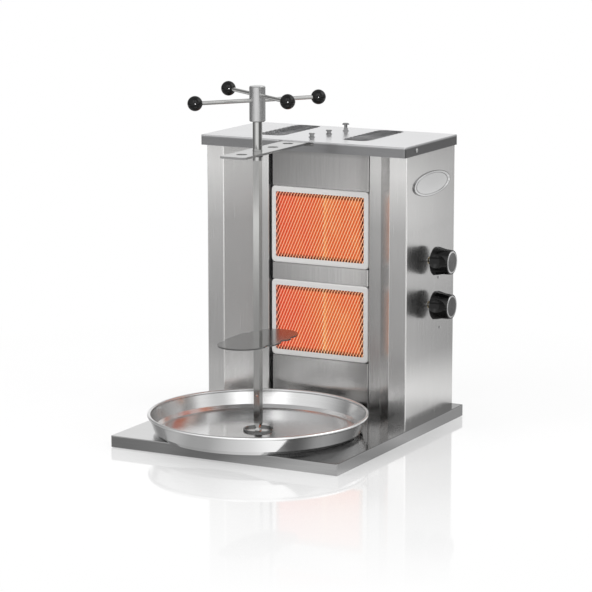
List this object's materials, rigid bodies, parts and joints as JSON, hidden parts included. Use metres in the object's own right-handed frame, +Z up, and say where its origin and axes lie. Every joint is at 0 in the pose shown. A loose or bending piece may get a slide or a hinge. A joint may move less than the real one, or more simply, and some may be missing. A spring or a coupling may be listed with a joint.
{
  "type": "vertical gas doner grill",
  "caption": "Tabletop vertical rotisserie grill: burners in a splayed sheet-steel cabinet, hand-turned skewer with cross handle, meat plate, drip pan and side gas knobs.",
  "frame": {"origin": "on the counter under the middle of the base plate, level with the feet's soles", "axes": "+Z up, +X to the operator's right, +Y from the operator to the burners"},
  "size_m": [0.4859, 0.594, 0.6541],
  "materials": {
    "base_sheet": "polished stainless sheet",
    "foot_rubber": "matte black rubber",
    "casing_sheet": "brushed stainless sheet",
    "lid_sheet": "brushed stainless sheet",
    "column_sheet": "brushed stainless sheet",
    "bezel_sheet": "pressed satin steel",
    "mesh_wire": "glowing heat-proof wire",
    "burner_tile": "glowing perforated ceramic",
    "galvanised": "galvanised steel",
    "brass": "turned brass",
    "gas_tube": "bent tube",
    "plated_screw": "plated steel",
    "badge_plate": "satin plate",
    "pan_aluminium": "spun, satin",
    "arm_steel": "brushed flat bar",
    "bush_nylon": "black nylon",
    "spit_steel": "polished stainless bar",
    "plate_steel": "polished stainless plate",
    "knob_plastic": "gloss black moulding",
    "knob_disc": "spun disc",
    "ball_plastic": "gloss black moulding"
  },
  "bodies": {
    "cabinet": {"base_plate": "base_sheet", "base_feet": "foot_rubber", "left_casing": "casing_sheet", "right_casing": "casing_sheet", "back_panel": "column_sheet", "back_screws": "plated_screw", "lid": "lid_sheet", "lid_screws": "plated_screw", "bottom_panel": "column_sheet", "middle_panel": "column_sheet", "top_panel": "column_sheet", "left_rail": "galvanised", "right_rail": "galvanised", "gas_manifold": "gas_tube", "side_badge": "badge_plate", "side_screws": "plated_screw", "spit_arm": "arm_steel", "arm_bolts": "plated_screw", "arm_nuts": "plated_screw", "thumb_nut": "plated_screw", "upper_bezel": "bezel_sheet", "upper_guard_mesh": "mesh_wire", "upper_tiles": "burner_tile", "upper_mixing_chamber": "galvanised", "upper_injector": "brass", "upper_gas_pipe": "gas_tube", "upper_valve": "brass", "upper_thermocouple": "gas_tube", "lower_bezel": "bezel_sheet", "lower_guard_mesh": "mesh_wire", "lower_tiles": "burner_tile", "lower_mixing_chamber": "galvanised", "lower_injector": "brass", "lower_gas_pipe": "gas_tube", "lower_valve": "brass", "lower_thermocouple": "gas_tube"},
    "drip_pan": {"drip_pan": "pan_aluminium", "pivot_ring": "plate_steel"},
    "thumb_screw": {"thumb_screw": "plated_screw"},
    "arm_bush": {"arm_bush": "bush_nylon"},
    "skewer": {"skewer": "spit_steel", "plate_pin": "spit_steel", "handle_hub": "spit_steel", "hub_screw": "plated_screw", "lower_handle_rod": "spit_steel", "upper_handle_rod": "spit_steel", "handle_balls": "ball_plastic"},
    "meat_plate": {"meat_plate": "plate_steel"},
    "upper_push_rod": {"upper_push_rod": "plated_screw"},
    "upper_knob": {"upper_knob": "knob_plastic", "upper_knob_cap": "knob_disc", "upper_valve_stem": "plated_screw"},
    "lower_push_rod": {"lower_push_rod": "plated_screw"},
    "lower_knob": {"lower_knob": "knob_plastic", "lower_knob_cap": "knob_disc", "lower_valve_stem": "plated_screw"}
  },
  "joints": [
    {"name": "skewer_spin", "type": "hinge", "parent": "cabinet", "child": "arm_bush", "pos_m": [-0.01, -0.11, 0.5335], "axis": [0, 0, 1], "continuous": true},
    {"name": "skewer_lift", "type": "slide", "parent": "arm_bush", "child": "skewer", "axis": [0, 0, 1], "range_m": [0, 0.15]},
    {"name": "pan_slide", "type": "slide", "parent": "cabinet", "child": "drip_pan", "axis": [0, -1, 0], "range_m": [0, 0.3]},
    {"name": "plate_slide", "type": "slide", "parent": "skewer", "child": "meat_plate", "axis": [0, 0, 1], "range_m": [0, 0.18]},
    {"name": "thumb_screw_turn", "type": "hinge", "parent": "cabinet", "child": "thumb_screw", "pos_m": [0.004, 0.213, 0.539], "axis": [0, 0, 1], "range_deg": [0, 720]},
    {"name": "upper_knob_push", "type": "slide", "parent": "cabinet", "child": "upper_push_rod", "axis": [-1, 0, 0], "range_m": [0, 0.004], "stiffness_N_per_m": 600, "springref_m": -0.001},
    {"name": "upper_knob_turn", "type": "hinge", "parent": "upper_push_rod", "child": "upper_knob", "pos_m": [0.2082, 0.153, 0.3159], "axis": [1, 0, 0], "range_deg": [0, 210]},
    {"name": "lower_knob_push", "type": "slide", "parent": "cabinet", "child": "lower_push_rod", "axis": [-1, 0, 0], "range_m": [0, 0.004], "stiffness_N_per_m": 600, "springref_m": -0.001},
    {"name": "lower_knob_turn", "type": "hinge", "parent": "lower_push_rod", "child": "lower_knob", "pos_m": [0.2082, 0.153, 0.2326], "axis": [1, 0, 0], "range_deg": [0, 210]}
  ],
  "couplings": [
    {"joint": "pan_slide", "follows": "skewer_lift", "ratio": 2}
  ]
}
